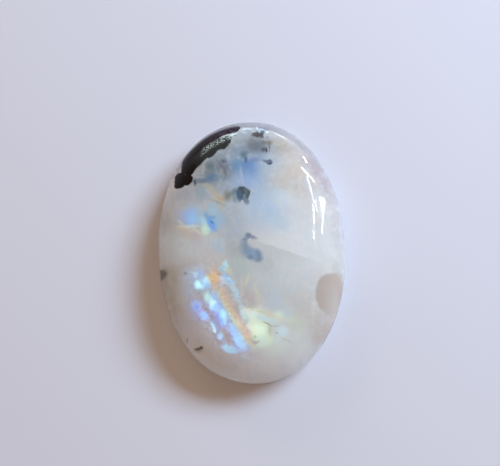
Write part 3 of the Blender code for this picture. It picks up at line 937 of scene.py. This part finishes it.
def makeTourmaline(sheet, flat, reach):
    # it lets no light in, so it has a shader of its own and a mask
    ragged = sheet.drifted(flat, *drifts["tourmaline"])
    roughReach = shareOut(sheet, ragged)
    right, up = sheet.part(ragged, "X"), sheet.part(ragged, "Y")
    mask = None
    for innerEdge, innerBlur, end, endBlur in tourmaline["parts"]:
        share = sheet.smooth(roughReach, innerEdge, innerEdge + innerBlur)
        share = share * sheet.smooth(right, end + endBlur, end - endBlur)
        mask = share if mask is None else mask.most(share)
    low, lowBlur = tourmaline["low"], tourmaline["lowBlur"]
    lowEdge = up + (right - tourmaline["lowAt"]) * tourmaline["lowSlope"]
    mask = mask * sheet.smooth(lowEdge, low - lowBlur, low + lowBlur)
    left, leftBlur = tourmaline["left"], tourmaline["leftBlur"]
    mask = mask * sheet.smooth(right, left - leftBlur, left + leftBlur)
    for form in tourmaline["ends"]:
        mask = mask.most(sheet.spot(ragged, *form, tourmaline["endBlur"]))
    # the outer edge gives way to the clear rim's painted reflection
    north = sheet.part(flat, "Y")
    leaning = reach + (north - tourmaline["outerAt"]) * tourmaline["outerLean"]
    edge = sheet.smooth(leaning, *tourmaline["outer"])
    mask = mask * (1 - edge * sheet.smooth(north, *tourmaline["outerUp"], tourmaline["outerShare"]))

    sheen, inside = tourmaline["sheen"], tourmaline["inside"]
    deep, pitGlints, rise = tourmaline["deep"], tourmaline["pitGlints"], tourmaline["bump"]
    colour = sheet.mixed(sheet.haze(flat, *deep["haze"]), tourmaline["rodColour"], deep["colour"])
    east = sheet.part(flat, "X")
    share = sheet.smooth(east, *sheen["right"]) * sheet.haze(flat, *sheen["haze"])
    colour = sheet.mixed(share, colour, sheen["colour"])
    share = sheet.smooth(reach, *inside["reach"]) * sheet.smooth(sheet.part(flat, "Y"), *inside["up"])
    colour = sheet.mixed(share, colour, inside["colour"])
    # painted reflection along the rod: a broken band, glints on its pits and a thin bright line
    band = stripe(sheet, reach, east, tourmaline["band"])
    patchy = sheet.grain(flat, *tourmaline["patches"])
    shown = sheet.smooth(patchy, *tourmaline["reflectionBandShown"])
    colour = sheet.mixed(band * shown, colour, tourmaline["reflectionBandColour"])
    glintedPits = band * sheet.haze(flat, *pitGlints["haze"])
    colour = sheet.mixed(glintedPits * pitGlints["share"], colour, pitGlints["colour"])
    line = stripe(sheet, reach, east, tourmaline["line"])
    shown = sheet.smooth(patchy, *tourmaline["reflectionLineShown"])
    colour = sheet.mixed(line * shown, colour, pitGlints["colour"])
    bump = sheet.node(
        "ShaderNodeBump",
        {},
        {
            "Height": sheet.grain(flat, *rise["noise"]),
            "Strength": rise["strength"],
            "Distance": rise["height"],
        },
    )
    dark = sheet.node(
        "ShaderNodeBsdfPrincipled",
        {},
        {
            "Base Color": colour,
            "Roughness": tourmaline["roughness"],
            "Specular IOR Level": tourmaline["specular"],
            "Normal": bump,
        },
        "BSDF",
    )
    return dark, mask


def broken(sheet, colour, veined):
    # the long fracture is a thin line with a lighter side and a greyer side
    place, turn, strength = fracture["place"], fracture["turn"], fracture["strength"]
    near = sheet.spot(veined, *place, *fracture["size"], turn, fracture["soft"])
    line = sheet.aside(veined, place, turn + 90, fracture["line"])
    colour = sheet.mixed(near * line * strength, colour, fracture["above"])
    return sheet.mixed(near * (1 - line) * strength, colour, fracture["below"])


def shareOut(sheet, flat):
    # how far out a place lies, 0 in the middle and 1 at the girdle
    fullness = cabochon["outlineFullness"]
    across = sheet.part(sheet.vector("ABSOLUTE", flat), "X") * (2 * mm / cabochon["width"])
    along = sheet.part(sheet.vector("ABSOLUTE", flat), "Y") * (2 * mm / cabochon["length"])
    return (across.raised(fullness) + along.raised(fullness)).raised(1 / fullness)


# the schiller's painted stripes, patches and flashes, with painted glow round them
def flashed(sheet, colour, flat, veined):
    turned = sheet.placed(flat, rainbow["line"], (1, 1), rainbow["turn"])
    cells = sheet.node(
        "ShaderNodeTexVoronoi",
        {"distance": "CHEBYCHEV"},
        {"Vector": turned, **rainbow["cells"]},
        "Color",
    )
    push = sheet.vector("SUBTRACT", cells, (0.5, 0.5, 0.5))
    far = (rainbow["cellPush"], rainbow["cellPush"], 0)
    blocky = sheet.vector("MULTIPLY_ADD", push, far, sheet.drifted(veined, rainbow["raggedEdge"]))

    start, span = rainbow["from"], rainbow["to"] - rainbow["from"]
    aside = sheet.aside(turned, (start, 0), 0, span) * span + start
    aside = aside + (sheet.grain(flat, *rainbow["waverNoise"]) - 0.5) * rainbow["waver"]
    stepped = (sheet.channel(cells, "Red") - 0.5) * sheet.smooth(aside, *rainbow["stepped"])
    aside = aside + stepped * rainbow["steps"]
    stops = [((place - start) / span, rgb(*paint)) for place, paint in rainbow["stops"]]
    stripes = sheet.node("ShaderNodeValToRGB", {"stops": stops}, [(aside - start) * (1 / span)])
    shown = None
    for form in stripePatches:
        patch = sheet.spot(blocky, *form)
        shown = patch if shown is None else shown.most(patch)
    colour = sheet.painted(colour, veined, glows)
    colour = sheet.mixed(shown, colour, stripes)
    colour = sheet.painted(colour, blocky, flashMarks)

    values = {"Vector": turned, "Scale": glitter["cells"]}
    small = sheet.node("ShaderNodeTexVoronoi", {}, values, "Color")
    bright = (sheet.channel(small, "Red") - 0.5) * glitter["cellShare"]
    bright = bright + (sheet.grain(flat, *glitter["noise"]) - 0.5) * glitter["noiseShare"]
    return sheet.dimmed(colour, 1.0 + bright * sheet.spot(flat, *glitter["where"]))


stone = makeStone()
stone.data.materials.append(makeMoonstoneMaterial())
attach(stone, "root")
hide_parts(stoneNode)
print("stone made:", len(stone.data.polygons), "faces")

# The table under the stone
table = {"reach": 1.5, "colour": rgb(228, 229, 238), "roughness": 0.9}


def makeTable():
    bm = bmesh.new()
    bmesh.ops.create_grid(bm, x_segments=1, y_segments=1, size=table["reach"])
    floor = addMesh("table", bm)
    material = bpy.data.materials.new("pale table")
    sheet = Sheet(material)
    sheet.fill(
        sheet.tree.nodes["Principled BSDF"],
        {"Base Color": table["colour"], "Roughness": table["roughness"], "Specular IOR Level": 0.0},
    )
    floor.data.materials.append(material)


makeTable()
print("table made")

# Each light reaches between two directions as the stone sees them (azimuth from +X towards +Y and
# height above the table, in degrees) and has a thickness in degrees, a brightness, and a colour
# where it isn't white. The wide soft ones only light, and the small bright ones only mirror in the
# polish.
lights = {
    "distance": 0.45,
    "soft": [
        ("window", (20, 25.5), (56, 33), 14, 24, (0.75, 0.97, 1.23)),
        ("leftWall", (127, 23), (98, 22), 9, 4, (1.2, 1, 0.85)),
    ],
    "mirrored": [
        ("paneTop", (22, 20), (24.8, 31.5), 2.6, 30),
        ("paneMiddle", (20.4, 25), (21.6, 33), 2, 30),
        ("paneFoot", (19, 29.6), (19.4, 34), 1.3, 26),
        ("paneTail", (18.4, 33.4), (17, 33.6), 1.2, 10),
        ("paneDrop", (12.9, 38.6), (10.9, 40.2), 2, 30),
        ("paneSide", (26.9, 39.8), (21.6, 41.6), 1.6, 26),
        ("windowEdge", (16, 37), (27, 32), 12, 2.2),
        ("upperPane", (48, 32.2), (41.5, 29.4), 2, 40),
        ("upperTail", (41.5, 29.4), (35.4, 25.8), 1.2, 34),
        ("smallPane", (48.6, 15.2), (45.2, 17.2), 2.6, 44),
        ("farFrame", (42.1, 33.4), (32.8, 40.2), 0.9, 28),
        ("middleFrame", (32.8, 40.2), (26.4, 42.6), 0.9, 24),
        ("nearFrame", (25.5, 44.4), (17.6, 49.2), 1.2, 26),
        ("lowFrame", (14.6, 50.6), (9.7, 52), 1.4, 40),
        ("sideFrame", (17.2, 34.5), (12.9, 38.6), 1, 8),
        ("doorLight", (75.2, 4.9), (69.5, 8.6), 1.6, 28),
        ("doorEnd", (69.5, 8.6), (64.7, 8.9), 1.4, 30),
        ("backLight", (98, 5), (80, 12), 5, 2.2, (0.9, 1, 1.05)),
        ("leftLight", (127, 22.6), (98, 22), 8, 2.4, (0.85, 1, 0.95)),
    ],
}


def direction(azimuth, height):
    around, up = math.radians(azimuth), math.radians(height)
    return Vector((math.cos(around) * math.cos(up), math.sin(around) * math.cos(up), math.sin(up)))


def makeLight(mirrored, name, start, end, thick, bright, colour=(1, 1, 1)):
    far = lights["distance"]
    first, second = direction(*start) * far, direction(*end) * far
    middle = (first + second) / 2
    back = middle.normalized()
    along = second - first
    along -= back * along.dot(back)
    data = bpy.data.lights.new(name, "AREA")
    data.shape = "RECTANGLE"
    data.size = along.length
    data.size_y = 2 * far * math.tan(math.radians(thick / 2))
    data.color = colour
    data.energy = bright * math.pi * data.size * data.size_y
    along.normalize()
    lamp = addObject(name, data)
    lamp.visible_camera = False
    lamp.visible_diffuse = not mirrored
    lamp.visible_glossy = mirrored
    lamp.matrix_world = Matrix((along, back.cross(along), back)).transposed().to_4x4()
    lamp.location = middle


for kind in ("soft", "mirrored"):
    for spec in lights[kind]:
        makeLight(kind == "mirrored", *spec)
print("lights made:", len(lights["soft"]) + len(lights["mirrored"]))

# The room round the stone: dim and warm above, pale near the horizon
room = {"above": (0.33, 0.215, 0.135, 1), "horizon": (0.62, 0.63, 0.70, 1), "heights": (0.35, 0.1)}


def makeRoom():
    world = bpy.data.worlds.new("room")
    bpy.context.scene.world = world
    sheet = Sheet(world)
    low = sheet.smooth(sheet.part(sheet.coordinates("Generated"), "Z"), *room["heights"])
    colour = sheet.mixed(low, room["above"], room["horizon"])
    sheet.fill(sheet.tree.nodes["Background"], {"Color": colour})


makeRoom()

# The camera, above the stone and a little towards its plain end: millimetres and degrees
view = {
    "place": (5.41, -5.0, 68.5),
    "turn": (6.0, 4.89, -2.3),
    "lens": 36.0,
    "sensor": 36.0,
    "sees": (1 * mm, 10.0),  # the nearest and the farthest that it sees, in metres
}


def makeCamera():
    data = bpy.data.cameras.new("camera")
    data.lens = view["lens"]
    data.sensor_width = view["sensor"]
    data.clip_start, data.clip_end = view["sees"]
    camera = addObject("camera", data)
    camera.location = Vector(view["place"]) * mm
    camera.rotation_euler = [math.radians(angle) for angle in view["turn"]]
    bpy.context.scene.camera = camera


makeCamera()
bpy.context.scene.view_settings.view_transform = "Standard"
print("room and camera made")
